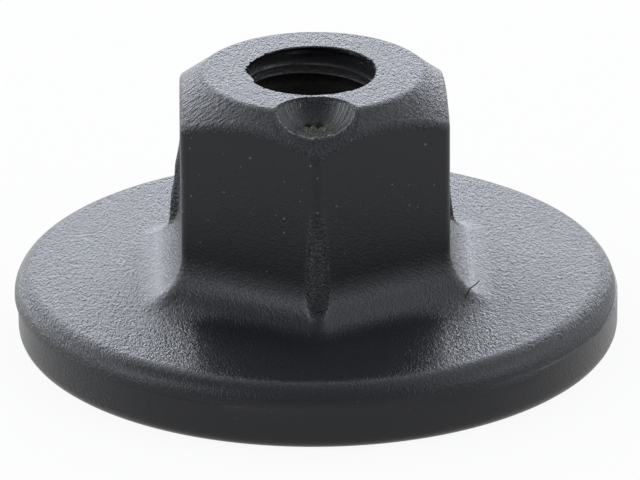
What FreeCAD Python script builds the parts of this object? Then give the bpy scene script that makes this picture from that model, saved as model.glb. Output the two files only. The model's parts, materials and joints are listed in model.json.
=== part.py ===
import FreeCAD, Part
import math
import os
import Sketcher

# Moulded plastic flange nut, millimetres.
# The origin is the centre of the flat underside, +Z runs up the bore and a corner of the hexagon faces -Y.

# Driving dimensions
SIZES = {
    "across_flats": "10",
    "overall_height": "10.4",
    "corner_round": "0.4",
    "flange_diameter": "22.7",
    "flange_thickness": "2.5",
    "rim_round": "0.8",
    "foot_round": "0.5",
    "root_fillet": "1.7",
    "crown_diameter": "8.3",
    "crown_angle": "36",
    "crown_edge_round": "0.4",
    "thread_minor_diameter": "4.917",
    "lead_in": "0.6",
    "rib_nose_radius": "0.34",
    "rib_top_height": "6.9",
    "rib_shoulder_height": "5.6",
    "rib_shoulder_reach": "0.21",
    "rib_foot_reach": "0.57",
    "rib_burial": "0.1",
    "gate_offset": "4.15",
    "gate_dish_radius": "1.53",
    "gate_dish_depth": "1.06",
}

HEXAGON_SIDES = 6
RIB_COUNT = 3
RIB_NOSE_SIDES = 12
FULL_TURN = 360
TOLERANCE = 1e-4

doc = FreeCAD.newDocument("flange_nut")


def make_sheet():
    """Puts every driving dimension in the sheet, under its own name."""
    sheet = doc.addObject("Spreadsheet::Sheet", "Sizes")
    for row, (alias, value) in enumerate(SIZES.items(), start=1):
        sheet.set(f"A{row}", alias)
        sheet.set(f"B{row}", value)
        sheet.setAlias(f"B{row}", alias)
    doc.recompute()
    return sheet


sheet = make_sheet()


def size(alias):
    """Value of a driving dimension, for first positions and for picking edges."""
    return float(sheet.get(alias))


def corner_radius():
    """Distance from the axis to a sharp corner of the hexagon."""
    return size("across_flats") / 2 / math.cos(math.pi / HEXAGON_SIDES)


CORNER_RADIUS = f"Sizes.across_flats / (2 * cos(180 / {HEXAGON_SIDES}))"

body = doc.addObject("PartDesign::Body", "flange_nut")
body.Label = "flange_nut"


def origin_feature(role):
    """One of the body's own origin planes or axes."""
    return next(item for item in body.Origin.OriginFeatures if item.Role == role)


def new_sketch(name, role):
    """Empty sketch on one of the body's origin planes."""
    sketch = body.newObject("Sketcher::SketchObject", name)
    sketch.AttachmentSupport = (origin_feature(role), [""])
    sketch.MapMode = "FlatFace"
    return sketch


def bind(sketch, constraint, expression):
    """Adds a constraint whose value follows the sheet."""
    index = sketch.addConstraint(constraint)
    sketch.setExpression(f"Constraints[{index}]", expression)


def circle_sketch(name, diameter):
    """Circle about the axis, on the underside's plane."""
    sketch = new_sketch(name, "XY_Plane")
    centre = FreeCAD.Vector(0, 0, 0)
    up = FreeCAD.Vector(0, 0, 1)
    ring = sketch.addGeometry(Part.Circle(centre, up, size(diameter) / 2))
    sketch.addConstraint(Sketcher.Constraint("Coincident", ring, 3, -1, 1))
    bind(sketch, Sketcher.Constraint("Diameter", ring, size(diameter)), f"Sizes.{diameter}")
    return sketch


def polygon(sketch, points):
    """Closed chain of lines through the points; returns the lines' indices."""
    lines = []
    for start, end in zip(points, points[1:] + points[:1]):
        segment = Part.LineSegment(FreeCAD.Vector(*start, 0), FreeCAD.Vector(*end, 0))
        lines.append(sketch.addGeometry(segment))
    for line, following in zip(lines, lines[1:] + lines[:1]):
        sketch.addConstraint(Sketcher.Constraint("Coincident", line, 2, following, 1))
    return lines


def pad(name, sketch, length):
    """Extrudes a sketch upwards by a size of the sheet."""
    feature = body.newObject("PartDesign::Pad", name)
    feature.Profile = sketch
    feature.setExpression("Length", f"Sizes.{length}")
    doc.recompute()
    return feature


def edges_where(shape, test):
    """Names of the edges of a shape that pass a test."""
    return [f"Edge{number}" for number, edge in enumerate(shape.Edges, start=1) if test(edge)]


def round_edges(name, base, test, radius):
    """Fillets the edges of a feature that pass a test."""
    feature = body.newObject("PartDesign::Fillet", name)
    feature.Base = (base, edges_where(base.Shape, test))
    feature.setExpression("Radius", f"Sizes.{radius}")
    doc.recompute()
    return feature


def lies_at(edge, height):
    """Whether an edge lies wholly in one horizontal plane."""
    box = edge.BoundBox
    return abs(box.ZMin - height) < TOLERANCE and abs(box.ZMax - height) < TOLERANCE


def farthest(edge):
    """Largest distance of an edge's ends from the axis."""
    return max(math.hypot(vertex.X, vertex.Y) for vertex in edge.Vertexes)


# Flange disc with its rolled upper rim and its softer lower edge
disc = pad("flange_disc", circle_sketch("flange_outline", "flange_diameter"), "flange_thickness")
disc_rim = round_edges(
    "rim_roll",
    disc,
    lambda edge: lies_at(edge, size("flange_thickness")),
    "rim_round",
)
disc_foot = round_edges("foot_roll", disc_rim, lambda edge: lies_at(edge, 0), "foot_round")


def regular_polygon(sketch, sides, depth, radius):
    """Polygon of equal sides with its first corner on the -Y side; returns its guide circle."""
    corners = []
    for index in range(sides):
        angle = 2 * math.pi * index / sides - math.pi / 2
        corners.append((radius * math.cos(angle), radius * math.sin(angle) - depth))
    lines = polygon(sketch, corners)
    guide_circle = Part.Circle(FreeCAD.Vector(0, -depth, 0), FreeCAD.Vector(0, 0, 1), radius)
    guide = sketch.addGeometry(guide_circle, True)
    for line in lines:
        sketch.addConstraint(Sketcher.Constraint("PointOnObject", line, 1, guide))
    for line in lines[1:]:
        sketch.addConstraint(Sketcher.Constraint("Equal", lines[0], line))
    sketch.addConstraint(Sketcher.Constraint("PointOnObject", lines[0], 1, -2))
    return guide


def hexagon_sketch():
    """Regular hexagon with one corner on the -Y side."""
    sketch = new_sketch("hexagon_outline", "XY_Plane")
    guide = regular_polygon(sketch, HEXAGON_SIDES, 0, corner_radius())
    sketch.addConstraint(Sketcher.Constraint("Coincident", guide, 3, -1, 1))
    bind(sketch, Sketcher.Constraint("Radius", guide, corner_radius()), CORNER_RADIUS)
    return sketch


def is_hexagon_corner(edge):
    """Whether an edge is one of the hexagon's upright corners."""
    upright = edge.BoundBox.ZLength > TOLERANCE
    straight = isinstance(edge.Curve, Part.Line)
    return upright and straight and abs(farthest(edge) - corner_radius()) < TOLERANCE


# Hexagonal body, with its upright corners eased
hexagon = pad("hexagon_body", hexagon_sketch(), "overall_height")
hexagon_eased = round_edges("corner_ease", hexagon, is_hexagon_corner, "corner_round")


def crown_sketch():
    """Triangle outside the cone that bevels the top of the hexagon."""
    sketch = new_sketch("crown_bevel_profile", "XZ_Plane")
    inner = size("crown_diameter") / 2
    outer = size("across_flats")
    top = size("overall_height")
    drop = (outer - inner) * math.tan(math.radians(size("crown_angle")))
    upper, side, slope = polygon(sketch, [(inner, top), (outer, top), (outer, top - drop)])
    sketch.addConstraint(Sketcher.Constraint("Horizontal", upper))
    sketch.addConstraint(Sketcher.Constraint("Vertical", side))
    bind(sketch, Sketcher.Constraint("DistanceX", -1, 1, upper, 1, inner), "Sizes.crown_diameter / 2")
    bind(sketch, Sketcher.Constraint("DistanceX", -1, 1, upper, 2, outer), "Sizes.across_flats")
    bind(sketch, Sketcher.Constraint("DistanceY", -1, 1, upper, 1, top), "Sizes.overall_height")
    fall = "(Sizes.across_flats - Sizes.crown_diameter / 2) * tan(Sizes.crown_angle)"
    bind(sketch, Sketcher.Constraint("DistanceY", side, 2, side, 1, drop), fall)
    return sketch


def groove(name, sketch):
    """Turns a profile away round the axis, and checks that it took material off."""
    before = body.Shape.Volume
    feature = body.newObject("PartDesign::Groove", name)
    feature.Profile = sketch
    feature.ReferenceAxis = (sketch, ["V_Axis"])
    feature.Angle = FULL_TURN
    doc.recompute()
    if feature.Shape.Volume >= before:
        raise RuntimeError(f"{name} cut nothing")
    return feature


def is_crown_edge(edge):
    """Whether an edge runs between the bevelled crown and the hexagon's sides."""
    above_flange = edge.BoundBox.ZMin > size("flange_thickness") + TOLERANCE
    top_face = lies_at(edge, size("overall_height"))
    upright = isinstance(edge.Curve, Part.Line)
    return above_flange and not top_face and not upright


def is_root_edge(edge):
    """Whether an edge runs where the hexagon stands on the flange."""
    return lies_at(edge, size("flange_thickness")) and farthest(edge) < corner_radius() + TOLERANCE


# Bevelled crown, softened where it meets the sides, and the fillet at the hexagon's root
crown = groove("crown_bevel", crown_sketch())
crown_soft = round_edges("crown_edge_ease", crown, is_crown_edge, "crown_edge_round")
rooted = round_edges("root_blend", crown_soft, is_root_edge, "root_fillet")


def rib_section(name, height, reach):
    """Level slice of a socket rib: a many-sided round whose nose stands out of the -Y corner."""
    sketch = new_sketch(name, "XY_Plane")
    sketch.setExpression("AttachmentOffset.Base.z", height)
    nose = size("rib_nose_radius")
    depth = corner_radius() - nose
    guide = regular_polygon(sketch, RIB_NOSE_SIDES, depth, nose)
    sketch.addConstraint(Sketcher.Constraint("PointOnObject", guide, 3, -2))
    bind(sketch, Sketcher.Constraint("Radius", guide, nose), "Sizes.rib_nose_radius")
    centre = Sketcher.Constraint("DistanceY", guide, 3, -1, 1, depth)
    bind(sketch, centre, f"{CORNER_RADIUS} + {reach} - Sizes.rib_nose_radius")
    return sketch


def ribs(base):
    """Three round-nosed ribs on alternate corners, leaning out to grip the inside of a socket."""
    before = base.Shape.Volume
    foot = rib_section("rib_foot", "Sizes.flange_thickness / 2", "Sizes.rib_foot_reach")
    shoulder = rib_section("rib_shoulder", "Sizes.rib_shoulder_height", "Sizes.rib_shoulder_reach")
    top = rib_section("rib_top", "Sizes.rib_top_height", "(-Sizes.rib_burial)")
    rib = body.newObject("PartDesign::AdditiveLoft", "socket_rib")
    rib.Profile = foot
    rib.Sections = [shoulder, top]
    rib.Ruled = True
    doc.recompute()
    pattern = body.newObject("PartDesign::PolarPattern", "socket_ribs")
    pattern.Originals = [rib]
    pattern.Axis = (origin_feature("Z_Axis"), [""])
    pattern.Angle = FULL_TURN
    pattern.Occurrences = RIB_COUNT
    body.Tip = pattern
    doc.recompute()
    if pattern.Shape.Volume <= before:
        raise RuntimeError("the ribs added nothing")
    return pattern


ribbed = ribs(rooted)


def gate_dish():
    """Round dish in the -Y corner of the crown, where the moulding gate was broken off."""
    before = body.Shape.Volume
    dish = body.newObject("PartDesign::SubtractiveSphere", "gate_dish")
    dish.AttachmentSupport = (origin_feature("XY_Plane"), [""])
    dish.MapMode = "FlatFace"
    dish.setExpression("Radius", "Sizes.gate_dish_radius")
    dish.setExpression("AttachmentOffset.Base.y", "-Sizes.gate_offset")
    centre_height = "Sizes.overall_height - Sizes.gate_dish_depth + Sizes.gate_dish_radius"
    dish.setExpression("AttachmentOffset.Base.z", centre_height)
    doc.recompute()
    if dish.Shape.Volume >= before:
        raise RuntimeError("the gate dish cut nothing")
    return dish


dished = gate_dish()


def bore():
    """Through bore at the thread's minor diameter, with a lead-in on the underside."""
    before = body.Shape.Volume
    hole = body.newObject("PartDesign::Pocket", "thread_bore")
    hole.Profile = circle_sketch("bore_outline", "thread_minor_diameter")
    hole.Type = "ThroughAll"
    hole.Reversed = True
    doc.recompute()
    if hole.Shape.Volume >= before:
        raise RuntimeError("the bore cut nothing")
    bore_radius = size("thread_minor_diameter") / 2
    mouth = edges_where(
        hole.Shape,
        lambda edge: lies_at(edge, 0) and farthest(edge) < bore_radius + TOLERANCE,
    )
    lead_in = body.newObject("PartDesign::Chamfer", "thread_lead_in")
    lead_in.Base = (hole, mouth)
    lead_in.setExpression("Size", "Sizes.lead_in")
    doc.recompute()
    return lead_in


bore()

# Every feature has to be sound before anything is written
doc.recompute()
for item in doc.Objects:
    if "Invalid" in item.State or "Error" in item.State:
        raise RuntimeError(f"{item.Name} failed: {item.State}")

shape = body.Shape
if shape.isNull() or not shape.isValid() or len(shape.Solids) != 1:
    raise RuntimeError("the nut is not one valid solid")

os.makedirs("parts", exist_ok=True)
shape.exportStep(f"parts/{body.Label}.step")
print(f"{body.Label}: {shape.Volume:.1f} mm3, {len(shape.Faces)} faces")
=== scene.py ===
# %% [markdown]
# # A moulded plastic flange nut
# This lesson dresses one small part: a black hexagon nut with a wide round flange, moulded in one shot.
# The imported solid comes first, because it fixes the size and the form. All lengths of the nut are in
# millimetres, as on a drawing, and are turned into metres only where Blender needs them.

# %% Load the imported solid
import json
import math

import bpy
import numpy as np
from mathutils import Matrix, Vector


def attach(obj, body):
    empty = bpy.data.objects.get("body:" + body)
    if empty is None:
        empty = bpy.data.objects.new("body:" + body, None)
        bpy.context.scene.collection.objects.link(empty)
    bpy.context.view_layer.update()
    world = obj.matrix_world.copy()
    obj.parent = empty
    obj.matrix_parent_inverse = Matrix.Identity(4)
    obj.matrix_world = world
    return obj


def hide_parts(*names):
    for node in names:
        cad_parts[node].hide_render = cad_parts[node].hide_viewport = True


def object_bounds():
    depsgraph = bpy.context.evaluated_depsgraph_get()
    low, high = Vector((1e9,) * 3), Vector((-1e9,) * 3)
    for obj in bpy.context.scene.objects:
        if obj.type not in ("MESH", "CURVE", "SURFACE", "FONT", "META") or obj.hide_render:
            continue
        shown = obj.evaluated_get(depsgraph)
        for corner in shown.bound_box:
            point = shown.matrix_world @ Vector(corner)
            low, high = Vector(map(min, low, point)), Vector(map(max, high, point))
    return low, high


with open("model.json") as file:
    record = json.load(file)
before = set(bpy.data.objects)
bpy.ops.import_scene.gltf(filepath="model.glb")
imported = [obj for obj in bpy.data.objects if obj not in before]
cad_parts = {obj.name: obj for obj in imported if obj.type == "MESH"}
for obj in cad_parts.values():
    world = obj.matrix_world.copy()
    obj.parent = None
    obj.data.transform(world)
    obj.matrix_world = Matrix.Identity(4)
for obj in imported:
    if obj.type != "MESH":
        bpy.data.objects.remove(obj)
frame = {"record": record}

MM = 0.001
NODE = "flange_nut"
solid_low, solid_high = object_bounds()
mounts = {mount["name"]: mount for mount in frame["record"]["mounts"]}
HEIGHT = solid_high.z / MM
FLANGE_RADIUS = (solid_high.x - solid_low.x) / 2 / MM
BORE_RADIUS = mounts["thread"]["dims"]["r_mm"]
print(f"solid: {2 * FLANGE_RADIUS:.2f} mm across, {HEIGHT:.2f} mm high, bore radius {BORE_RADIUS} mm")

# %% [markdown]
# ## The plan of the mesh
# The nut could be a copy of the solid's triangles with a bevel on top, but those triangles are long and
# uneven, and a thread or a torn gate can't be pressed into them. So the nut is turned afresh, like work on
# a lathe whose tool moves in and out with the angle: rings of points, one above the other, each ring with
# the same columns. Columns stand closest at the hexagon's corners and at the front, where most happens.

# %% Columns: angles round the axis, counted from the front corner
FULL_TURN = 2 * math.pi
SIXTH = math.pi / 3
COLUMNS = 396
SAMPLES_PER_COLUMN = 20
CORNER_DENSITY = 1.6
CORNER_SPREAD = math.radians(5)
FRONT_DENSITY = 1.3
FRONT_SPREAD = math.radians(24)


def turn_from(angle, spacing):
    """Unsigned angle to the nearest of the directions that repeat at this spacing, the front among them."""
    return np.abs((angle + spacing / 2) % spacing - spacing / 2)


def spread_columns():
    """Angles whose spacing follows a density: close at corners and front, wide on the plain flats."""
    fine = np.linspace(0, FULL_TURN, SAMPLES_PER_COLUMN * COLUMNS + 1)
    corner = np.exp(-((turn_from(fine, SIXTH) / CORNER_SPREAD) ** 2))
    front = np.exp(-((turn_from(fine, FULL_TURN) / FRONT_SPREAD) ** 4))
    density = 1 + CORNER_DENSITY * corner + FRONT_DENSITY * front
    share = np.concatenate([[0], np.cumsum(density[1:] + density[:-1])])
    return np.interp(np.arange(COLUMNS) / COLUMNS, share / share[-1], fine)


angle = spread_columns()
bearing = np.degrees((angle + math.pi) % FULL_TURN - math.pi)
off_front = np.abs(bearing)
steps = np.degrees(np.diff(angle))
print(f"{COLUMNS} columns, {steps.min():.2f} to {steps.max():.2f} degrees apart")

# %% [markdown]
# ## The hexagon
# A moulded hexagon has no knife edges: each upright corner is an arc. Where the body flares into the
# flange, the outline is the same hexagon pushed outwards, and its corner arcs grow only a little, so that
# each corner runs down the flare as a ridge. One function for a hexagon with round corners therefore serves
# the walls and the whole flare.

# %% Outline of a hexagon with round corners, as a distance from the axis
APOTHEM = 5.0
CORNER_ROUND = 0.4
SHARP_CORNER = APOTHEM / math.cos(SIXTH / 2)


def hexagon(apothem, corner):
    """Distance from the axis to a hexagon's outline, at every column."""
    off_corner = turn_from(angle, SIXTH)
    centre = (apothem - corner) / math.cos(SIXTH / 2)
    flat = apothem / np.cos(SIXTH / 2 - off_corner)
    inside = np.maximum(corner**2 - (centre * np.sin(off_corner)) ** 2, 0)
    arc = centre * np.cos(off_corner) + np.sqrt(inside)
    tangent = np.arctan2(corner * math.sin(SIXTH / 2), centre + corner * math.cos(SIXTH / 2))
    return np.where(off_corner < tangent, arc, flat)


WALL = hexagon(APOTHEM, CORNER_ROUND)
print(f"hexagon: {WALL.min():.3f} mm at the flats, {WALL.max():.3f} mm at the corners")

# %% [markdown]
# ## Rings of the profile
# Each stretch of the outline gives rings as two arrays, distance from the axis and height, and keeps its
# name, so that the material can tell the stretches apart later. The underside is flat, its edge is round,
# and the two mould halves meet on the rim: the lower half is a hair off centre, which leaves a fine step
# that stands out on one side and in on the other. A Screw modifier could turn a plain disc, but not that
# step.

# %% Flange: underside, foot, rim with its parting step, and rolled upper edge
QUARTER = math.pi / 2
FLANGE_THICKNESS = 2.5
RIM_ROUND = 0.8
RIM_START = 0.8
FOOT_ROUND = 0.5
LEAD_IN = 0.6
PARTING_HEIGHT = 1.64
PARTING_EASE = 0.03
LOWER_HALF_SHIFT = 0.1
LOWER_HALF_RADIUS = FLANGE_RADIUS - 0.02

rings = []
ring_region = []


def add_rings(distance, height, region):
    """Adds one ring for every row of the two arrays; a single number holds all the way round."""
    rows = np.broadcast_arrays(np.atleast_2d(distance), np.atleast_2d(height), angle[None, :])
    rings.extend(zip(rows[0].copy(), rows[1].copy()))
    ring_region.extend([region] * len(rows[0]))


def shares(count, start=0.0, end=1.0):
    """Evenly spaced numbers as a column, ready to be spread over a ring."""
    return np.linspace(start, end, count)[:, None]


mouth = BORE_RADIUS + LEAD_IN
lower_rim = LOWER_HALF_RADIUS + LOWER_HALF_SHIFT * np.sin(angle)
add_rings(mouth + (lower_rim - FOOT_ROUND - mouth) * shares(9), 0, "under")
turn = shares(7, 0, QUARTER)[1:]
add_rings(lower_rim - FOOT_ROUND + FOOT_ROUND * np.sin(turn), FOOT_ROUND * (1 - np.cos(turn)), "rim")
add_rings(lower_rim, shares(3, RIM_START, PARTING_HEIGHT - PARTING_EASE), "rim")
add_rings(FLANGE_RADIUS, PARTING_HEIGHT + PARTING_EASE, "rim")
turn = shares(12, 0, QUARTER)[1:]
rim_centre = FLANGE_RADIUS - RIM_ROUND
shoulder = FLANGE_THICKNESS - RIM_ROUND
add_rings(rim_centre + RIM_ROUND * np.cos(turn), shoulder + RIM_ROUND * np.sin(turn), "roll")
print(f"flange: {len(rings)} rings")

# %% [markdown]
# ## The flare and the walls
# The root of the hexagon is a quarter-round hollow that follows the outline all the way round. A Bevel
# modifier on that edge would pinch the faces at the six corners. Here every ring of the hollow is the
# hexagon pushed a little less far out than the ring below it, so a short loop is enough.

# %% Flange face, root hollow and walls
ROOT_FILLET = 1.7
CORNER_GROWTH = 0.3
CROWN_RADIUS = 4.15
CROWN_ANGLE = math.radians(36)
CROWN_EDGE_ROUND = 0.4
CORNER_SOFTNESS = 0.35
CORNER_SOFT_SPREAD = math.radians(6)

root_foot = hexagon(APOTHEM + ROOT_FILLET, CORNER_ROUND + CORNER_GROWTH * ROOT_FILLET)
add_rings(rim_centre + (root_foot - rim_centre) * shares(12)[1:], FLANGE_THICKNESS, "flange")
for turn in np.linspace(0, QUARTER, 15)[1:]:
    out = ROOT_FILLET * (1 - math.sin(turn))
    rise = ROOT_FILLET * (1 - math.cos(turn))
    outline = hexagon(APOTHEM + out, CORNER_ROUND + CORNER_GROWTH * out)
    add_rings(outline, FLANGE_THICKNESS + rise, "root")

crown_edge = HEIGHT - (WALL - CROWN_RADIUS) * math.tan(CROWN_ANGLE)
edge_turn = QUARTER - CROWN_ANGLE
front_corner = np.exp(-((turn_from(angle, FULL_TURN) / CORNER_SOFT_SPREAD) ** 2))
edge_round = CROWN_EDGE_ROUND + CORNER_SOFTNESS * front_corner
edge_reach = edge_round * math.tan(edge_turn / 2)
wall_foot = FLANGE_THICKNESS + ROOT_FILLET
add_rings(WALL, wall_foot + (crown_edge - edge_reach - wall_foot) * shares(26)[1:], "wall")
print(f"up to the crown: {len(rings)} rings")

# %% [markdown]
# ## The crown
# The top of the hexagon is bevelled by a cone, so the bevel dips at each corner and rises along each flat.
# A Boolean with a cone would cut it, but would leave slivers along the edge. Because every column is its own
# slice, the ring on that wavy edge follows it exactly, with an arc on each side to catch the light. The arc
# is larger at the front corner, where the gate was trimmed.

# %% Bevelled crown and flat top
TOP_EDGE_ROUND = 0.5
BORE_EDGE = 0.04

turn = shares(9, 0, edge_turn)[1:]
edge_distance = WALL - edge_round * (1 - np.cos(turn))
edge_height = crown_edge - edge_reach + edge_round * np.sin(turn)
add_rings(edge_distance, edge_height, "bevel")
top_reach = TOP_EDGE_ROUND * math.tan(CROWN_ANGLE / 2)
bevel_start = rings[-1][0]
bevel_end = CROWN_RADIUS + top_reach * math.cos(CROWN_ANGLE)
bevel = bevel_start + (bevel_end - bevel_start) * shares(21)[1:]
add_rings(bevel, HEIGHT - (bevel - CROWN_RADIUS) * math.tan(CROWN_ANGLE), "bevel")
turn = shares(7, CROWN_ANGLE, 0)[1:]
top_centre = CROWN_RADIUS - top_reach
add_rings(top_centre + TOP_EDGE_ROUND * np.sin(turn), HEIGHT - TOP_EDGE_ROUND * (1 - np.cos(turn)), "top")
add_rings(top_centre + (BORE_RADIUS + BORE_EDGE - top_centre) * shares(29)[1:], HEIGHT, "top")
mouth_ring = len(rings)
print(f"up to the bore: {mouth_ring} rings")

# %% [markdown]
# ## The thread
# A fine thread is left out of the solid, so it is made here. On a right-hand thread the crest climbs one
# pitch for each turn against the clock, seen from above. Level rings would cut the crest into beads, so the
# rings of the bore climb with it, and swing back down across a short sector at the front. The first crest is
# a little hollow between two fine burrs, the turn below it lies further back in its shadow, and the groove
# fades out just under the top face, where the mould's core ended. The underside keeps its lead-in cone.

# %% Bore with its internal thread
PITCH = 1.0
THREAD_DEPTH = 0.54
FAR_CREST_DROP = 0.875
RUN_OUT = 0.16
SET_BACK = 0.36
SET_BACK_ENDS = (1.3, 2.2)
FROM_CREST = (0, 0.19, 0.43, 0.5)
CREST_TO_ROOT = (0, 0, THREAD_DEPTH, THREAD_DEPTH)
FROM_FIRST_CREST = (0, 0.09, 0.17, 0.2, 0.43, 0.5)
FIRST_CREST_TO_ROOT = (0.03, 0.03, 0, 0.015, THREAD_DEPTH, THREAD_DEPTH)
MOUTH_DEPTHS = [BORE_EDGE, 0.14, 0.23, 0.33]
SEEN_STEPS = (
    -0.43, -0.32, -0.24, -0.2, -0.17, -0.13, -0.09, 0, 0.09, 0.13, 0.17, 0.2, 0.24, 0.32, 0.43, 0.5,
)
DEEP_STEPS = (-0.43, -0.31, -0.19, 0, 0.19, 0.31, 0.43, 0.5)
SWING_SECTOR = math.radians(40)


def smooth(low, high, value):
    """Soft step from 0 to 1 between two values."""
    share = np.clip((value - low) / (high - low), 0, 1)
    return share * share * (3 - 2 * share)


lead = PITCH * (angle - math.pi) / FULL_TURN
first_crest = HEIGHT - FAR_CREST_DROP + lead
past_swing = smooth(0, SWING_SECTOR, turn_from(angle, FULL_TURN))


def thread_distance(level):
    """Distance from the axis to the threaded wall at the given heights."""
    from_crest = np.abs((level - first_crest + PITCH / 2) % PITCH - PITCH / 2)
    turns_below = (first_crest - level) / PITCH
    first = np.interp(from_crest, FROM_FIRST_CREST, FIRST_CREST_TO_ROOT)
    lower = np.interp(from_crest, FROM_CREST, CREST_TO_ROOT)
    set_back = SET_BACK * (1 - smooth(*SET_BACK_ENDS, turns_below))
    groove = np.where(turns_below < 0.5, first, np.maximum(lower, set_back))
    fade = smooth(0.0, RUN_OUT, HEIGHT - level)
    return np.maximum(BORE_RADIUS + groove * fade, mouth - level)


depths = MOUTH_DEPTHS
for pitch_number in range(math.ceil(HEIGHT / PITCH)):
    seen = SEEN_STEPS if pitch_number == 0 else DEEP_STEPS
    depths = depths + [FAR_CREST_DROP + PITCH * pitch_number + step for step in seen]
for depth in depths:
    if depth < HEIGHT:
        follow = smooth(0, PITCH, depth) * smooth(0, PITCH, HEIGHT - depth)
        level = HEIGHT - depth + lead * past_swing * follow
        add_rings(thread_distance(level), level, "bore")
distance = np.array([ring[0] for ring in rings])
height = np.array([ring[1] for ring in rings])
region = np.array(ring_region)[:, None]
print(f"whole nut: {len(rings)} rings, {2 * len(rings) * COLUMNS} triangles")

# %% [markdown]
# ## Socket ribs
# Three narrow ribs stand out of alternate corners and grip the inside of a socket. Each has a round nose and
# sloping flanks, and leans out towards its foot. They could be three small meshes pushed into the walls, but
# then the skin would cross itself. Instead the wall takes whichever is further out, itself or the rib, with
# a soft blend, and because of the flanks a rib runs down into the flare as a point.

# %% Ribs on alternate corners
RIB_RADIUS = 0.31
RIB_FLANK = math.radians(68)
RIB_HEIGHTS = (FLANGE_THICKNESS / 2, 5.6, 6.9)
RIB_REACHES = (0.57, 0.21, -0.1)
RIB_BLEND = 0.1
BLEND_REST = 0.002

off_rib = SHARP_CORNER * turn_from(angle, 2 * SIXTH)


def soft_max(one, other, blend):
    """The larger of two values, rounded where they cross."""
    return (one + other + np.sqrt((one - other) ** 2 + blend**2) - blend) / 2


def rib_distance(level):
    """Distance from the axis to the ribs' noses and flanks at the given heights."""
    reach = np.interp(level, RIB_HEIGHTS, RIB_REACHES)
    on_nose = np.minimum(off_rib, RIB_RADIUS * math.sin(RIB_FLANK))
    nose = np.sqrt(RIB_RADIUS**2 - on_nose**2) - RIB_RADIUS
    flank = math.tan(RIB_FLANK) * (off_rib - on_nose)
    return SHARP_CORNER + reach + nose - flank


on_walls = (height > FLANGE_THICKNESS) & (height < RIB_HEIGHTS[-1]) & (distance > APOTHEM)
filled = soft_max(distance, rib_distance(height), RIB_BLEND) + RIB_BLEND / 2
proud = np.where(on_walls, np.maximum(filled - distance - BLEND_REST, 0), 0)
distance = distance + proud
print(f"ribs: up to {proud.max():.2f} mm proud of the wall")

# %% [markdown]
# ## Seeded unevenness
# Breaks and wear follow no drawing, so they need chance, but the same chance on every run. A small table
# of random numbers, read with smooth steps between its cells, gives lumps that join without a seam.

# %% Smooth lumps over a plane
TABLE = 64


def lumps(seed, across, along, spacing):
    """Smooth values between -1 and 1 over a plane, with lumps about as far apart as the spacing."""
    table = np.random.default_rng(seed).uniform(-1, 1, (TABLE, TABLE))
    column, row = np.floor(across / spacing).astype(int), np.floor(along / spacing).astype(int)
    right = smooth(0, 1, across / spacing - column)
    up = smooth(0, 1, along / spacing - row)
    near, far = column % TABLE, (column + 1) % TABLE
    below, above = row % TABLE, (row + 1) % TABLE
    low = table[near, below] * (1 - right) + table[far, below] * right
    high = table[near, above] * (1 - right) + table[far, above] * right
    return low * (1 - up) + high * up


sample = lumps(1, distance, height, 0.5)
print(f"lumps: {sample.min():.2f} to {sample.max():.2f}")

# %% [markdown]
# ## The worn mouth
# The rim of the bore is chipped at the back left, softer at the back right, and on the near left the first
# crest of the thread reaches the top face and leaves a small lip. The mouth is not quite round either: it
# is full at the right and drawn back at the far side. Sculpting by hand could do this once, but not again
# on every run, so each kind of wear is a sector of bearings that pushes the mouth in or out.

# %% Chips and lip at the mouth of the bore
MOUTH_REACH = 0.35
MOUTH_RINGS = 30
CHIP_SIZE = 0.13
CHIP_DEPTH, CHIPPED = 0.1, (-140, -92, 4)
SOFT_CHIP_DEPTH, SOFT_CHIPPED = 0.07, (95, 130, 6)
LIP_REACH, LIP_SECTOR = 0.12, (-84, -66, 5)
FULL_SIDE, FULL_SECTOR = 0.13, (60, 118, 25)
FAR_SIDE, FAR_ENDS = 0.1, (125, 165)


def sector(start, end, ease):
    """Mask of the columns between two bearings in degrees, with soft ends."""
    return smooth(start - ease, start + ease, bearing) * (1 - smooth(end - ease, end + ease, bearing))


chips = np.clip(lumps(2, BORE_RADIUS * np.sin(angle), -BORE_RADIUS * np.cos(angle), CHIP_SIZE) + 0.2, 0, 1)
wear = CHIP_DEPTH * sector(*CHIPPED) * chips + SOFT_CHIP_DEPTH * sector(*SOFT_CHIPPED) * chips
wear = wear - LIP_REACH * sector(*LIP_SECTOR) - FULL_SIDE * sector(*FULL_SECTOR)
wear = wear + FAR_SIDE * smooth(*FAR_ENDS, off_front)
from_mouth = np.hypot(distance - BORE_RADIUS, height - HEIGHT)
worn = wear * (1 - smooth(MOUTH_REACH / 2, MOUTH_REACH, from_mouth))
is_mouth = (np.arange(len(distance)) >= mouth_ring - MOUTH_RINGS)[:, None] & (height > HEIGHT - 1)
distance = distance + np.where(is_mouth, worn, 0)
print(f"mouth: {wear.min():.2f} to {wear.max():.2f} mm off the true circle")

# %% [markdown]
# ## Uneven shrinkage
# Thick plastic shrinks unevenly as it cools. The far left rib leans out a little more than the others, by a
# tenth of a millimetre at its foot, and the far right corner of the hexagon sits back by about as much. A
# Lattice modifier could bend the mesh, but two soft masks keep the amounts in millimetres.

# %% Shrinkage of the two far corners
FAR_LEFT, FAR_RIGHT = -120, 120
CORNER_SPACING = 60
LEAN_OUT, LEAN_START, LEAN_TOP = 0.1, 0.25, 5.2
SIT_BACK, SIT_BACK_TOP = 0.09, 9.6
BODY_MARGIN = 1.0


def near_corner(corner_bearing):
    """1 at a corner of the hexagon, falling evenly to 0 at its neighbours."""
    return np.clip(1 - np.abs(bearing - corner_bearing) / CORNER_SPACING, 0, 1)


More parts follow.
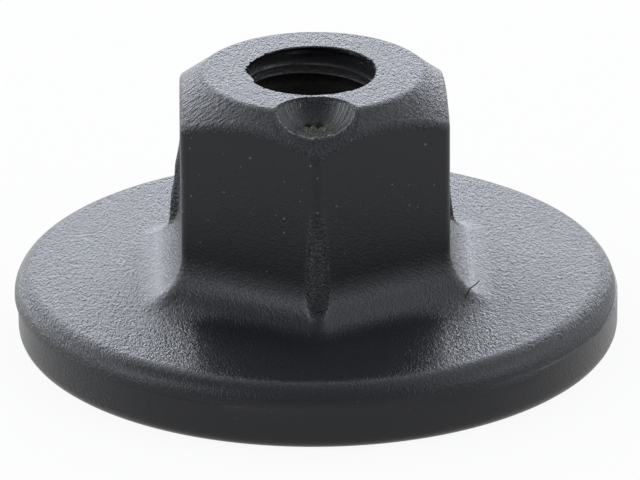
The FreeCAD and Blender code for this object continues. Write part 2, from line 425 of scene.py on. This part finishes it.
leaning = smooth(FLANGE_THICKNESS, FLANGE_THICKNESS + LEAN_START, height)
leaning = leaning * (1 - smooth(wall_foot, LEAN_TOP, height))
settled = smooth(FLANGE_THICKNESS, wall_foot, height) * (1 - smooth(SIT_BACK_TOP, HEIGHT, height))
swell = LEAN_OUT * near_corner(FAR_LEFT) * leaning - SIT_BACK * near_corner(FAR_RIGHT) * settled
body = (distance > APOTHEM - BODY_MARGIN) & (distance < SHARP_CORNER + BODY_MARGIN)
swell = np.where(body, swell, 0)
distance = distance + swell
print(f"corners: {swell.min():.2f} to {swell.max():.2f} mm")

# %% [markdown]
# ## The gate dish
# Plastic entered the mould at the front corner of the crown, and a round dish there keeps the broken gate
# below the top face. A Boolean with a ball would cut it with a hard edge. The crown can also be seen as a
# landscape, so the dish is made by changing heights only: a ball's hollow with a tilted floor, an edge that
# is rounder at the sides than at the back, and an uneven lip on the near side.

# %% Gate dish with its floor and lip
GATE_OFFSET = 4.15
GATE_RADIUS = 1.53
GATE_DEPTH = 1.06
GATE_BLEND = 0.04
GATE_SIDE_BLEND, SIDE_ENDS, SIDE_BACK_ENDS = 0.16, (0.55, 1.0), (0.4, 0.9)
GATE_NEAR_BLEND, NEAR_ENDS = 0.2, (-0.4, 0.2)
DISH_UNEVEN, DISH_LUMP = 0.02, 0.22
FLOOR_LEVEL = 0.95
FLOOR_SLOPE = 0.27
FLOOR_BLEND = 0.08
LIP_HEIGHT, LIP_WIDTH = 0.09, 0.2
LIP_UNEVEN, LIP_LUMP = 0.6, 0.12
CROWN_DEPTH = 2.0
BORE_LAND = 0.25

x = distance * np.sin(angle)
y = -distance * np.cos(angle)
gate_y = y + GATE_OFFSET
from_gate = np.hypot(x, gate_y)
on_crown = (height > HEIGHT - CROWN_DEPTH) & (distance > BORE_RADIUS + BORE_LAND) & (from_gate < GATE_RADIUS)
dish_centre = HEIGHT - GATE_DEPTH + GATE_RADIUS
bowl = dish_centre - np.sqrt(np.maximum(GATE_RADIUS**2 - from_gate**2, 0))
dish = soft_max(bowl, HEIGHT - FLOOR_LEVEL + FLOOR_SLOPE * gate_y, FLOOR_BLEND)
dish = dish + DISH_UNEVEN * lumps(3, x, y, DISH_LUMP)
above_dish = np.abs(dish - height)
beside = smooth(*SIDE_ENDS, np.abs(x)) * (1 - smooth(*SIDE_BACK_ENDS, gate_y))
nearer = 1 - smooth(*NEAR_ENDS, gate_y)
gate_blend = GATE_BLEND + np.maximum(GATE_SIDE_BLEND * beside, GATE_NEAR_BLEND * nearer)
rounded = -soft_max(-height, -dish, gate_blend) - gate_blend / 2 * smooth(0.1, 0.5, above_dish)
lip = LIP_HEIGHT * np.exp(-((above_dish / LIP_WIDTH) ** 2)) * nearer
dished = rounded + lip * (1 + LIP_UNEVEN * lumps(4, x, y, LIP_LUMP))
sunk = np.where(on_crown & (dish < height), smooth(0, 0.06, height - dished), 0)
height = np.where(on_crown, dished, height)
print(f"gate dish: {HEIGHT - height[on_crown].min():.2f} mm below the top face")

# %% [markdown]
# ## The torn gate
# The break itself is a rough patch on the dish's floor, with two small hollows where the plastic was pulled
# out. A bump in the material would look flat here, because the patch is seen close and from low down. So its
# lumps and hollows are heights as well.

# %% Torn patch and hollows
TEAR_CENTRE = (-0.02, 0.4)
TEAR_HALF = (0.66, 0.4)
TEAR_ENDS = (0.75, 1.05)
TEAR_EDGE_UNEVEN, TEAR_EDGE_LUMP = 0.2, 0.15
TEAR_LIFT = 0.03
TEAR_ROUGH, TEAR_LUMP = 0.06, 0.07
HOLLOWS = ((-0.26, 0.7, 0.17, 0.08, 0.2), (0.12, 0.68, 0.17, 0.13, 0.28))
HOLLOW_ENDS = (0.25, 0.55)

tear_reach = np.hypot((x - TEAR_CENTRE[0]) / TEAR_HALF[0], (gate_y - TEAR_CENTRE[1]) / TEAR_HALF[1])
tear_reach = tear_reach + TEAR_EDGE_UNEVEN * lumps(5, x, y, TEAR_EDGE_LUMP)
tear = sunk * (1 - smooth(*TEAR_ENDS, tear_reach))
torn = tear * (TEAR_LIFT + TEAR_ROUGH * lumps(6, x, 0.5 * y, TEAR_LUMP))
hole = 0 * tear
for hollow_x, hollow_y, half_x, half_y, depth in HOLLOWS:
    pull = np.exp(-(((x - hollow_x) / half_x) ** 2) - (((gate_y - hollow_y) / half_y) ** 2))
    torn = torn - np.where(sunk > 0, depth * pull, 0)
    hole = np.maximum(hole, sunk * smooth(*HOLLOW_ENDS, pull))
height = height + torn
print(f"torn gate: {torn.min():.2f} to {torn.max():.2f} mm off the dish")

# %% [markdown]
# ## Closing the grid
# The rings close on themselves through the bore, so the mesh is one sealed skin with no seam and no pole.
# Each point needs only its neighbours in the next column and the next ring, and rolling the table of point
# numbers by one gives both.

# %% Build the mesh
SHARP_EDGE = math.radians(40)

points = np.stack([x, y, height], axis=-1) * MM
index = np.arange(height.size).reshape(height.shape)
next_column = np.roll(index, -1, axis=1)
next_ring = np.roll(index, -1, axis=0)
diagonal = np.roll(next_column, -1, axis=0)
quads = np.stack([index, next_column, diagonal, next_ring], axis=-1).reshape(-1, 4)
mesh = bpy.data.meshes.new("flange_nut_body")
mesh.from_pydata(points.reshape(-1, 3).tolist(), [], quads.tolist())
mesh.polygons.foreach_set("use_smooth", [True] * len(mesh.polygons))
mesh.set_sharp_from_angle(angle=SHARP_EDGE)
mesh.validate()
nut = bpy.data.objects.new("flange_nut_body", mesh)
bpy.context.scene.collection.objects.link(nut)
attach(nut, "root")
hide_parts(NODE)
print(f"nut: {len(mesh.vertices)} points, {len(mesh.polygons)} quads")

# %% [markdown]
# ## How strong the grain is
# Numbers that ride on the points tell the material where each finish belongs. Painting them by hand would
# also work, but the shape already knows where it is. The first number is the strength of the mould's grain:
# coarse on the flange and the top face, faint on the walls and the rim, coarser again on the ribs, which
# were cut into the mould by spark. In front of the body the flange mirrors only dark walls, and strong grain
# would sparkle there, so between two lines beside the body it is calmed.

# %% Strength of the grain
GRAIN = {
    "under": 0.3, "rim": 0.15, "roll": 0.3, "flange": 2.9, "root": 0.25,
    "wall": 0.2, "bevel": 1.0, "top": 3.5, "bore": 0.45,
}
RIB_GRAIN = 1.6
CALM_ASIDE = (4.5, 5.1, 6.2, 7.5)
CALM_SHARE = (0.92, 0.5, 0.3, 0)
SIDE_CALM = 0.2
FLOOR_GRAIN = 1.3

above_flange = height - FLANGE_THICKNESS
before_body = np.interp(np.abs(x), CALM_ASIDE, CALM_SHARE) * (y < 0)
calm = np.where(region == "flange", 1 - before_body - SIDE_CALM * smooth(75, 95, off_front), 1)
beside_front = smooth(36, 52, off_front)
foot = 1 - smooth(0, 0.25, above_flange)
upper_root = smooth(0.15, 0.45, above_flange) * smooth(58, 66, off_front)
far_root = np.where(region == "root", beside_front * (0.15 + 0.65 * foot) + 0.6 * upper_root, 0)
shoulder_top = smooth(-0.25, 0, above_flange)
far_roll = np.where(region == "roll", beside_front * (0.3 + 1.6 * shoulder_top), 0)
far_rim = np.where(region == "rim", 0.2 * sector(-112, -38, 12) + 0.1 * sector(42, 112, 12), 0)
worn_thread = np.where(region == "bore", 0.6 * sector(-125, -45, 12), 0)
dish_floor = sunk * (1 - smooth(0.55, 0.8, gate_y)) * (1 - smooth(0.7, 1.0, np.abs(x)))
grain = np.vectorize(GRAIN.get)(region) + RIB_GRAIN * smooth(0, 0.1, proud)
grain = grain * calm + far_rim + far_root + far_roll + worn_thread
grain = grain * (1 - 0.8 * sunk) + FLOOR_GRAIN * dish_floor
print(f"grain: {grain.min():.2f} to {grain.max():.2f}")

# %% [markdown]
# ## Where the other finishes lie
# File strokes lie on the bevels to the left and right. Plastic that was stretched as the gate broke is pale
# on the dish's floor, and the sides of the dish carry drag lines that fan out from its centre. The pale coat
# also holds painted light: it grows paler towards the dish's right side, whose wall faces the light, and a
# painted highlight runs along the crest of the near lip. A thin grey film lies in the thread, most of it
# below the first crest, the ribs are rubbed grey on their noses, with the rub fading out towards their foot
# as painted shade, and dust sits on the walls. Each mark is again worked out from the place on the nut.

# %% Marks for hatch, gate, film and dust
# Width and strength of a painted highlight along the crest of the dish's near lip.
LIP_HIGHLIGHT_WIDTH = 0.08
LIP_HIGHLIGHT = 0.75
DRAG_LEFT = 0.5
RIB_RUB = 0.6
CREST_HALF = (0.19, 0.25)
CLEAN_ABOVE = 0.75

hatch = np.where(region == "bevel", sector(-108, -38, 8) + 0.5 * sector(40, 108, 8), 0) * (1 - sunk)
gate_turn = np.arctan2(x, gate_y)
side_wall = np.exp(-(((np.abs(gate_turn) - 1.5) / 0.55) ** 2)) * np.where(gate_turn > 0, 1, DRAG_LEFT)
drag = sunk * side_wall * smooth(0.45, 0.75, from_gate)
back_wall = np.exp(-((gate_turn / 0.62) ** 4)) * smooth(0.6, 0.85, from_gate)
# Painted light: the pale coat grows paler towards the right of the dish, whose side wall faces the light.
pale_and_painted_light = sunk * (1 - back_wall) * (0.55 + 0.45 * smooth(0.2, 0.9, x))
# Painted highlight: a pale line along the crest of the near lip, laid into the pale coat.
lip_highlight = np.where(on_crown, nearer * np.exp(-((above_dish / LIP_HIGHLIGHT_WIDTH) ** 2)), 0)
pale_and_painted_light = np.maximum(pale_and_painted_light, LIP_HIGHLIGHT * lip_highlight)
above_crest = smooth(*CREST_HALF, height - first_crest) * past_swing
rub_and_painted_shade = smooth(0, 0.3, proud) * (1 - smooth(RIB_RADIUS / 3, RIB_RADIUS, off_rib))
# Painted shade: the rub fades out towards the rib's foot, where it meets the flare, leaving the foot black.
rub_and_painted_shade = rub_and_painted_shade * smooth(FLANGE_THICKNESS + 0.3, wall_foot, height)
film = np.where(region == "bore", 1 - CLEAN_ABOVE * above_crest, RIB_RUB * rub_and_painted_shade)
dusty = np.where(region == "wall", 1, np.where(region == "bevel", 0.6, 0.15))
marks = {
    "grain": grain, "hatch": hatch, "tear": tear, "hole": hole, "pale_and_painted_light": pale_and_painted_light,
    "film": film, "dusty": dusty, "drag": drag, "gate_turn": gate_turn,
}
for name, values in marks.items():
    layer = mesh.attributes.new(name, "FLOAT", "POINT")
    layer.data.foreach_set("value", np.broadcast_to(values, height.shape).astype(np.float32).ravel())
print(f"marks: {', '.join(marks)}")

# %% [markdown]
# ## Reusable effects
# A finish is built from a few effects that any moulded plastic can use again, so each is a node group with
# named inputs. The first is the grain that spark erosion leaves in a mould: a fine noise, a little warped
# so that its dents run into each other like worm tracks. Places and sizes in a group are in metres, and its
# heights are in millimetres.

# %% Node helpers and the mould grain
def new_group(name, inputs, outputs):
    """Empty node group with float outputs; inputs are name, kind and first value."""
    tree = bpy.data.node_groups.new(name, "ShaderNodeTree")
    for label, kind, value in inputs:
        socket = tree.interface.new_socket(label, in_out="INPUT", socket_type=f"NodeSocket{kind}")
        if value is not None:
            socket.default_value = value
    for label in outputs:
        tree.interface.new_socket(label, in_out="OUTPUT", socket_type="NodeSocketFloat")
    return tree, tree.nodes.new("NodeGroupInput").outputs, tree.nodes.new("NodeGroupOutput").inputs


def feed(tree, socket, value):
    """Links a socket to another, or sets it to a number or a colour."""
    if isinstance(value, bpy.types.NodeSocket):
        tree.links.new(value, socket)
    else:
        socket.default_value = value


def calc(tree, operation, *values):
    """Output of a math node."""
    node = tree.nodes.new("ShaderNodeMath")
    node.operation = operation
    for socket, value in zip(node.inputs, values):
        feed(tree, socket, value)
    return node.outputs[0]


def noise(tree, place, size, detail, distortion=0.0):
    """Noise with lumps of a size, centred on 0."""
    node = tree.nodes.new("ShaderNodeTexNoise")
    feed(tree, node.inputs["Vector"], place)
    feed(tree, node.inputs["Scale"], calc(tree, "DIVIDE", 1.0, size))
    node.inputs["Detail"].default_value = detail
    node.inputs["Distortion"].default_value = distortion
    return calc(tree, "SUBTRACT", node.outputs["Fac"], 0.5)


RELIEF_INPUTS = [("Place", "Vector", None), ("Size", "Float", 0.1 * MM), ("Depth", "Float", 0.01)]

grain_group, given, result = new_group("mould_grain", RELIEF_INPUTS, ["Height"])
dents = noise(grain_group, given["Place"], given["Size"], 3.0, 0.9)
feed(grain_group, result["Height"], calc(grain_group, "MULTIPLY", dents, given["Depth"]))
print("group:", grain_group.name)

# %% [markdown]
# The second effect is a hatch: short strokes all in one direction, as a coarse file leaves them on the
# electrode. A wave texture would be too regular, so it is the same noise, drawn out along one axis of a
# turned frame.

# %% Hatch of short strokes
HATCH_TURN = (0, math.radians(48), 0)
HATCH_STRETCH = (1, 1, 3.2)


def drawn_out(tree, place, stretch, turn=(0, 0, 0)):
    """A place as seen in a turned frame whose axes are stretched."""
    node = tree.nodes.new("ShaderNodeMapping")
    node.vector_type = "TEXTURE"
    node.inputs["Rotation"].default_value = turn
    node.inputs["Scale"].default_value = stretch
    tree.links.new(place, node.inputs["Vector"])
    return node.outputs[0]


hatch_group, given, result = new_group("file_hatch", RELIEF_INPUTS, ["Height"])
file_place = drawn_out(hatch_group, given["Place"], HATCH_STRETCH, HATCH_TURN)
strokes = noise(hatch_group, file_place, given["Size"], 1.0, 0.4)
feed(hatch_group, result["Height"], calc(hatch_group, "MULTIPLY", strokes, given["Depth"]))
print("group:", hatch_group.name)

# %% [markdown]
# The third effect is dust: tiny pale specks that cling to black plastic. Loose grains could be scattered as
# meshes, but at this size a mask is enough. Each cell of a Voronoi texture has one centre, and only a few
# cells, picked by their random colour, show a soft speck there.

# %% Dust specks
def clipped(tree, value):
    """A value held between 0 and 1."""
    return calc(tree, "MAXIMUM", 0.0, calc(tree, "MINIMUM", 1.0, value))


dust_group, given, result = new_group(
    "dust_specks",
    [
        ("Place", "Vector", None), ("Spacing", "Float", MM),
        ("Size", "Float", 0.03 * MM), ("Share", "Float", 0.2),
    ],
    ["Mask"],
)
cells = dust_group.nodes.new("ShaderNodeTexVoronoi")
feed(dust_group, cells.inputs["Vector"], given["Place"])
feed(dust_group, cells.inputs["Scale"], calc(dust_group, "DIVIDE", 1.0, given["Spacing"]))
lot = dust_group.nodes.new("ShaderNodeSeparateColor")
dust_group.links.new(cells.outputs["Color"], lot.inputs[0])
chosen = calc(dust_group, "LESS_THAN", lot.outputs[0], given["Share"])
reach = calc(dust_group, "MULTIPLY", cells.outputs["Distance"], given["Spacing"])
limit = calc(dust_group, "MULTIPLY", given["Size"], calc(dust_group, "ADD", lot.outputs[1], 0.4))
near = clipped(dust_group, calc(dust_group, "SUBTRACT", 1.0, calc(dust_group, "DIVIDE", reach, limit)))
feed(dust_group, result["Mask"], calc(dust_group, "MULTIPLY", chosen, near))
print("group:", dust_group.name)

# %% [markdown]
# The fourth effect is a single straight scratch between two points. A painted image could hold it, but would
# blur up close. The group finds the nearest point of the line and marks everything closer than the scratch
# is wide.

# %% Scratch between two points
def vector_calc(tree, operation, *values):
    """A vector math node, fed in order."""
    node = tree.nodes.new("ShaderNodeVectorMath")
    node.operation = operation
    for socket, value in zip(node.inputs, values):
        feed(tree, socket, value)
    return node


scratch_group, given, result = new_group(
    "scratch",
    [
        ("Place", "Vector", None), ("Start", "Vector", None),
        ("End", "Vector", None), ("Width", "Float", 0.03 * MM),
    ],
    ["Mask"],
)
along = vector_calc(scratch_group, "SUBTRACT", given["End"], given["Start"]).outputs["Vector"]
from_start = vector_calc(scratch_group, "SUBTRACT", given["Place"], given["Start"]).outputs["Vector"]
length_squared = vector_calc(scratch_group, "DOT_PRODUCT", along, along).outputs["Value"]
reached = vector_calc(scratch_group, "DOT_PRODUCT", from_start, along).outputs["Value"]
to_nearest = vector_calc(scratch_group, "SCALE", along)
share = clipped(scratch_group, calc(scratch_group, "DIVIDE", reached, length_squared))
feed(scratch_group, to_nearest.inputs["Scale"], share)
aside = vector_calc(scratch_group, "SUBTRACT", from_start, to_nearest.outputs["Vector"]).outputs["Vector"]
gap = vector_calc(scratch_group, "LENGTH", aside).outputs["Value"]
feed(scratch_group, result["Mask"], calc(scratch_group, "LESS_THAN", gap, given["Width"]))
print("group:", scratch_group.name)

# %% [markdown]
# ## Black glass-filled polyamide
# The plastic is black, satin and a little bluish under daylight. One shader with plain numbers would do for
# smooth plastic, but almost everything seen on this nut is reflection, so the shape of its grain matters more
# than its colour. The material therefore reads the marks that ride on the mesh and places the effects by
# them.

# %% The nut's material and its readers
plastic = bpy.data.materials.new("black_polyamide")
plastic.use_nodes = True
tree = plastic.node_tree
shader = tree.nodes["Principled BSDF"]
place = tree.nodes.new("ShaderNodeTexCoord").outputs["Object"]


def mark(name):
    """Number that rides on the mesh under this name."""
    node = tree.nodes.new("ShaderNodeAttribute")
    node.attribute_name = name
    return node.outputs["Fac"]


def effect(group, **values):
    """First output of a node group placed in the material."""
    node = tree.nodes.new("ShaderNodeGroup")
    node.node_tree = group
    for label, value in values.items():
        feed(tree, node.inputs[label], value)
    return node.outputs[0]


def plan_scratch(start, end, width, floor_height):
    """Mask of a scratch given in plan, on what lies above a height."""
    plan = tree.nodes.new("ShaderNodeMapping")
    plan.inputs["Scale"].default_value = (1, 1, 0)
    tree.links.new(place, plan.inputs["Vector"])
    ends = [(one[0] * MM, one[1] * MM, 0) for one in (start, end)]
    line = effect(scratch_group, Place=plan.outputs[0], Start=ends[0], End=ends[1], Width=width * MM)
    parts = tree.nodes.new("ShaderNodeSeparateXYZ")
    tree.links.new(place, parts.inputs[0])
    return calc(tree, "MULTIPLY", line, calc(tree, "GREATER_THAN", parts.outputs["Z"], floor_height * MM))


mesh.materials.append(plastic)
print("material:", plastic.name)

# %% [markdown]
# ### Relief
# The grain, the file strokes and the drag lines are too fine for points of the mesh, so they are added up as
# one height and given to a Bump node. Below that height lie the clefts between the torn gate's fibres, its
# two hollows, and a short crack on the right of the flare.

# %% Bump of grain, strokes, drag lines and clefts
GRAIN_SIZE, GRAIN_DEPTH = 0.1, 0.09
GRAIN_STRETCH = (1, 2.1, 1)
HATCH_SIZE, HATCH_DEPTH = 0.13, 0.09
DRAG_LINES, DRAG_DEPTH = 26, 0.2
FIBRE_SIZE = 0.06
FIBRE_STRETCH = (1, 2.2, 2.2)
CLEFT_CONTRAST, CLEFT_SHARE = 7.0, 0.55
CLEFT_DEPTH = 0.05
CRACK = ((6.13, -1.91), (5.53, -3.68), 0.022)

grain_place = drawn_out(tree, place, GRAIN_STRETCH)
grain_depth = calc(tree, "MULTIPLY", mark("grain"), GRAIN_DEPTH)
height_sum = effect(grain_group, Place=grain_place, Size=GRAIN_SIZE * MM, Depth=grain_depth)
hatch_depth = calc(tree, "MULTIPLY", mark("hatch"), HATCH_DEPTH)
file_marks = effect(hatch_group, Place=place, Size=HATCH_SIZE * MM, Depth=hatch_depth)
height_sum = calc(tree, "ADD", height_sum, file_marks)
around = tree.nodes.new("ShaderNodeCombineXYZ")
feed(tree, around.inputs["X"], mark("gate_turn"))
streaks = noise(tree, around.outputs[0], 1 / DRAG_LINES, 1.0)
lines = calc(tree, "MULTIPLY", streaks, DRAG_DEPTH)
height_sum = calc(tree, "ADD", height_sum, calc(tree, "MULTIPLY", lines, mark("drag")))
tear_mark = mark("tear")
fibres = noise(tree, drawn_out(tree, place, FIBRE_STRETCH), FIBRE_SIZE * MM, 1.0, 0.5)
clefts = clipped(tree, calc(tree, "MULTIPLY_ADD", fibres, CLEFT_CONTRAST, CLEFT_SHARE))
cavity = calc(tree, "MAXIMUM", calc(tree, "MULTIPLY", clefts, tear_mark), mark("hole"))
cavity = calc(tree, "MAXIMUM", cavity, plan_scratch(*CRACK, FLANGE_THICKNESS / 2))
height_sum = calc(tree, "SUBTRACT", height_sum, calc(tree, "MULTIPLY", cavity, CLEFT_DEPTH))
relief = tree.nodes.new("ShaderNodeBump")
relief.inputs["Distance"].default_value = MM
feed(tree, relief.inputs["Height"], height_sum)
feed(tree, shader.inputs["Normal"], relief.outputs["Normal"])
print(f"relief: grain of {GRAIN_SIZE} mm, {DRAG_LINES} drag lines per radian")

# %% [markdown]
# ### Colour
# Colours are laid over each other like coats: the black plastic, the grey film in patches, which on the ribs
# fades out towards their foot as painted shade, the pale streaks of stretched plastic, with painted light on
# the dish's right side and a painted highlight on its lip, the olive of the torn fibres between their dark
# clefts, and last the dust and one short white scratch on the crown. One ramp could not do this, because each
# coat has its own mask.

# %% Coats of colour
BLACK = (0.0085, 0.0088, 0.0094, 1)
FILM = (0.036, 0.035, 0.033, 1)
# The pale coat's colour is stretched plastic, and also painted light on the dish's right side and a painted
# highlight on the lip.
PALE_STRETCH_AND_LIGHT = (0.2, 0.2, 0.19, 1)
TORN = (0.13, 0.12, 0.084, 1)
DUST = (0.17, 0.175, 0.18, 1)
FILM_SIZE, FILM_CONTRAST, FILM_SHARE = 0.09, 3.0, 0.85
PALE_CONTRAST, PALE_SHARE = 4.5, 0.5
DUST_SPACING, DUST_SIZE, DUST_SHARE = 0.31, 0.046, 0.3
WHITE_SCRATCH = ((-0.54, -2.87), (-0.53, -2.92), 0.016)


def coat(mask, under, over):
    """A colour laid over another as far as the mask says."""
    node = tree.nodes.new("ShaderNodeMix")
    node.data_type = "RGBA"
    feed(tree, node.inputs["Factor"], mask)
    feed(tree, node.inputs["A"], under)
    feed(tree, node.inputs["B"], over)
    return node.outputs["Result"]


patches = noise(tree, place, FILM_SIZE * MM, 1.0)
patches = calc(tree, "MULTIPLY_ADD", patches, FILM_CONTRAST, FILM_SHARE)
colour = coat(calc(tree, "MULTIPLY", mark("film"), patches), BLACK, FILM)
pale_streaks = calc(tree, "MULTIPLY_ADD", streaks, PALE_CONTRAST, PALE_SHARE)
# Pale coat: stretched plastic, with painted light on the dish's right side and a painted highlight on the
# lip.
colour = coat(calc(tree, "MULTIPLY", mark("pale_and_painted_light"), pale_streaks), colour, PALE_STRETCH_AND_LIGHT)
colour = coat(calc(tree, "SUBTRACT", tear_mark, cavity), colour, TORN)
dust = effect(dust_group, Place=place, Spacing=DUST_SPACING * MM, Size=DUST_SIZE * MM, Share=DUST_SHARE)
dust = calc(tree, "MULTIPLY", dust, mark("dusty"))
dust = calc(tree, "MAXIMUM", dust, plan_scratch(*WHITE_SCRATCH, HEIGHT - 1))
colour = coat(dust, colour, DUST)
feed(tree, shader.inputs["Base Color"], colour)
print(f"colours: {sum(node.type == 'MIX' for node in tree.nodes)} coats")

# %% [markdown]
# ### Gloss
# The moulded skin is satin. Broken plastic scatters more light, so the torn patch is rougher, and its clefts,
# the hollows and the crack are fully dull. The specular level is the same all over, so it is set on the
# shader itself, where an export keeps it.

# %% Gloss
SATIN = 0.3
TORN_DULL = 0.25
CLEFT_DULL = 0.7
SPECULAR_LEVEL = 0.3

rough = calc(tree, "MULTIPLY_ADD", tear_mark, TORN_DULL, SATIN)
rough = calc(tree, "MULTIPLY_ADD", cavity, CLEFT_DULL, rough)
feed(tree, shader.inputs["Roughness"], clipped(tree, rough))
shader.inputs["Specular IOR Level"].default_value = SPECULAR_LEVEL
print(f"material: {len(tree.nodes)} nodes")

# %% [markdown]
# ## The floor
# A plain sheet of paper. It keeps the nut's soft shadow, and the camera and the nut's own reflections see it
# mixed with white light, as a paper sweep looks when it is lit a little brighter than the object. A brighter
# lamp would do that too, but would wash out the black. Under the nut the paper stays dark, or the bore would
# mirror a white sheet at its far end.

# %% Floor
FLOOR_REACH = 0.8
FLOOR_SHADE = 0.55
FLOOR_GLOW_SHARE = 0.92

floor_mesh = bpy.data.meshes.new("floor")
corner_signs = ((-1, -1), (1, -1), (1, 1), (-1, 1))
floor_corners = [(FLOOR_REACH * side, FLOOR_REACH * end, 0) for side, end in corner_signs]
floor_mesh.from_pydata(floor_corners, [], [(0, 1, 2, 3)])
floor = bpy.data.objects.new("floor", floor_mesh)
bpy.context.scene.collection.objects.link(floor)
paper = bpy.data.materials.new("pale_floor")
paper.use_nodes = True
sheet = paper.node_tree
matte = sheet.nodes["Principled BSDF"]
matte.inputs["Base Color"].default_value = (FLOOR_SHADE, FLOOR_SHADE, FLOOR_SHADE, 1)
matte.inputs["Roughness"].default_value = 1.0
matte.inputs["Specular IOR Level"].default_value = 0.0
white = sheet.nodes.new("ShaderNodeEmission")
ray = sheet.nodes.new("ShaderNodeLightPath")
blend = sheet.nodes.new("ShaderNodeMixShader")
seen_ray = calc(sheet, "MAXIMUM", ray.outputs["Is Camera Ray"], ray.outputs["Is Glossy Ray"])
seen_ray = calc(sheet, "MAXIMUM", seen_ray, ray.outputs["Is Transmission Ray"])
sheet_place = sheet.nodes.new("ShaderNodeTexCoord").outputs["Object"]
from_axis = vector_calc(sheet, "LENGTH", sheet_place).outputs["Value"]
uncovered = calc(sheet, "GREATER_THAN", from_axis, (FLANGE_RADIUS - FOOT_ROUND) * MM)
glow = calc(sheet, "MULTIPLY", seen_ray, calc(sheet, "MULTIPLY", uncovered, FLOOR_GLOW_SHARE))
feed(sheet, blend.inputs[0], glow)
sheet.links.new(matte.outputs[0], blend.inputs[1])
sheet.links.new(white.outputs[0], blend.inputs[2])
sheet.links.new(blend.outputs[0], sheet.nodes["Material Output"].inputs["Surface"])
floor_mesh.materials.append(paper)
print(f"floor: {2 * FLOOR_REACH:.1f} m wide")

# %% [markdown]
# ## Light
# Black satin plastic shows its form only by what it mirrors. A bright low panel behind the nut makes the
# flange and the top face shine, a dimmer one stands above it, softer panels stand at both sides, and small
# ones overhead and towards the front pick out the bevels and the flare. The dim room in front keeps the walls
# dark. An image of a studio could light it too, but panels can be moved one by one. All light is a little
# bluish, as daylight lamps are.

# %% World and panels, in metres
LIGHT_TINT = (0.94, 0.98, 1.08)
ROOM_STRENGTH = 0.6

world = bpy.data.worlds.new("studio")
bpy.context.scene.world = world
world.use_nodes = True
room = world.node_tree.nodes["Background"]
room.inputs["Color"].default_value = (*LIGHT_TINT, 1)
room.inputs["Strength"].default_value = ROOM_STRENGTH


def softbox(name, stand, aim, width, depth, radiance):
    """Rectangular lamp that faces a point, with the brightness of its face as given."""
    lamp = bpy.data.lights.new(name, "AREA")
    lamp.shape = "RECTANGLE"
    lamp.size = width
    lamp.size_y = depth
    lamp.color = LIGHT_TINT
    lamp.energy = radiance * math.pi * width * depth
    holder = bpy.data.objects.new(name, lamp)
    holder.location = stand
    holder.rotation_euler = (Vector(aim) - Vector(stand)).to_track_quat("-Z", "Y").to_euler()
    holder.visible_camera = False
    bpy.context.scene.collection.objects.link(holder)


softbox("back_low", (-0.2, 0.6, 0.115), (-0.2, 0, 0.115), 1.2, 0.23, 4.5)
softbox("back_high", (-0.2, 0.6, 0.41), (-0.2, 0, 0.1), 1.2, 0.36, 1.5)
softbox("left_side", (-0.6, 0.1, 0.25), (0, 0, 0.1), 0.8, 0.4, 2.8)
softbox("right_side", (0.6, 0.05, 0.25), (0, 0, 0.1), 0.8, 0.4, 2.1)
softbox("top_back", (0, 0.365, 0.56), (0, 0, 0), 1.0, 0.36, 1.0)
softbox("right_high", (0.36, 0.03, 0.56), (0, 0, 0), 0.44, 0.26, 1.5)
softbox("right_front", (0.5, -0.27, 0.34), (0, 0, 0), 0.3, 0.24, 1.1)
softbox("left_front", (-0.5, -0.25, 0.36), (0, 0, 0), 0.36, 0.26, 2.0)
print(f"lamps: {len(bpy.data.lights)}")

# %% [markdown]
# ## Camera
# The photo was taken with a long lens, close to straight at the front corner and from a low angle. A Track To
# constraint would aim the camera, but would level it. So the camera is built from its own axes, because a
# slight roll of the horizon has to be kept.

# %% Camera
CAMERA_AZIMUTH = math.radians(-1.0)
CAMERA_ELEVATION = math.radians(22.6)
CAMERA_ROLL = math.radians(0.5)
CAMERA_DISTANCE = 230.0
PIXELS_PER_MM = 26.55
IMAGE_WIDTH = 640
AIM_HEIGHT = 4.0
AIM_ASIDE = 0.206
AIM_BELOW = 0.403

back = Vector((
    math.sin(CAMERA_AZIMUTH) * math.cos(CAMERA_ELEVATION),
    -math.cos(CAMERA_AZIMUTH) * math.cos(CAMERA_ELEVATION),
    math.sin(CAMERA_ELEVATION),
))
level_right = Vector((math.cos(CAMERA_AZIMUTH), math.sin(CAMERA_AZIMUTH), 0))
level_up = back.cross(level_right)
right = level_right * math.cos(CAMERA_ROLL) - level_up * math.sin(CAMERA_ROLL)
up = level_up * math.cos(CAMERA_ROLL) + level_right * math.sin(CAMERA_ROLL)
reference = Vector((0, 0, AIM_HEIGHT))
eye = reference + back * CAMERA_DISTANCE
target = reference + right * AIM_ASIDE - up * AIM_BELOW
look_back = (eye - target).normalized()
right = (right - look_back * right.dot(look_back)).normalized()
up = look_back.cross(right)
camera_data = bpy.data.cameras.new("camera")
camera_data.lens = PIXELS_PER_MM * CAMERA_DISTANCE / IMAGE_WIDTH * camera_data.sensor_width
camera_data.clip_start = 0.01
camera_data.clip_end = 10
camera = bpy.data.objects.new("camera", camera_data)
camera.matrix_world = Matrix((
    (right.x, up.x, look_back.x, eye.x * MM),
    (right.y, up.y, look_back.y, eye.y * MM),
    (right.z, up.z, look_back.z, eye.z * MM),
    (0, 0, 0, 1),
))
bpy.context.scene.collection.objects.link(camera)
bpy.context.scene.camera = camera
bpy.context.scene.view_settings.view_transform = "Standard"
print(f"camera: lens {camera_data.lens:.0f} mm")
